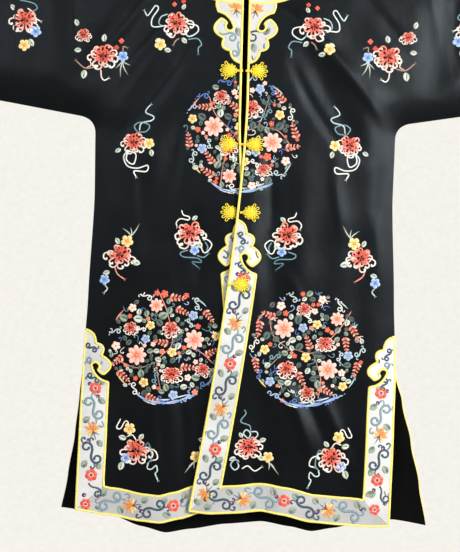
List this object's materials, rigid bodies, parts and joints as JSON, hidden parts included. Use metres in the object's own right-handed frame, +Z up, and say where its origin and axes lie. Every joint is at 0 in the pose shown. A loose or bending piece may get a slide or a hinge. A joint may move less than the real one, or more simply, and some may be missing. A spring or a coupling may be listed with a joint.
{
  "type": "changshan robe on a hanger",
  "caption": "Embroidered black satin robe with a centre-front opening, wide sleeves, side slits and banded edges, hung on a straight rod hanger.",
  "frame": {"origin": "inside of the hook's crest, where the hanger hangs on its rail", "axes": "+Z up, -Y the way the robe's front faces, +X the wearer's left, along the rod"},
  "size_m": [1.44, 0.0539, 1.3068],
  "materials": {
    "satin": "black silk satin",
    "trim_satin": "white silk satin, embroidered",
    "piping": "yellow satin piping",
    "cord": "yellow satin cord",
    "rod_wood": "waxed",
    "hook_wire": "bright wire"
  },
  "bodies": {
    "root": {"front_left": "satin", "front_right": "satin", "back": "satin", "sleeve_left": "satin", "sleeve_right": "satin", "collar": "trim_satin", "lappet_left": "trim_satin", "lappet_right": "trim_satin", "front_border_left": "trim_satin", "front_border_right": "trim_satin", "hem_border_left": "trim_satin", "hem_border_right": "trim_satin", "slit_border_left": "trim_satin", "slit_border_right": "trim_satin", "edge_piping_left": "piping", "edge_piping_right": "piping", "border_piping_left": "piping", "border_piping_right": "piping", "lappet_piping_left": "piping", "lappet_piping_right": "piping", "collar_piping": "piping", "neck_piping": "piping", "back_piping": "piping", "cuff_piping_left": "piping", "cuff_piping_right": "piping", "frog_1_left": "cord", "frog_1_right": "cord", "frog_2_left": "cord", "frog_2_right": "cord", "frog_3_left": "cord", "frog_3_right": "cord", "frog_4_left": "cord", "frog_4_right": "cord", "hanger_rod": "rod_wood", "hanger_hook": "hook_wire"}
  },
  "joints": []
}
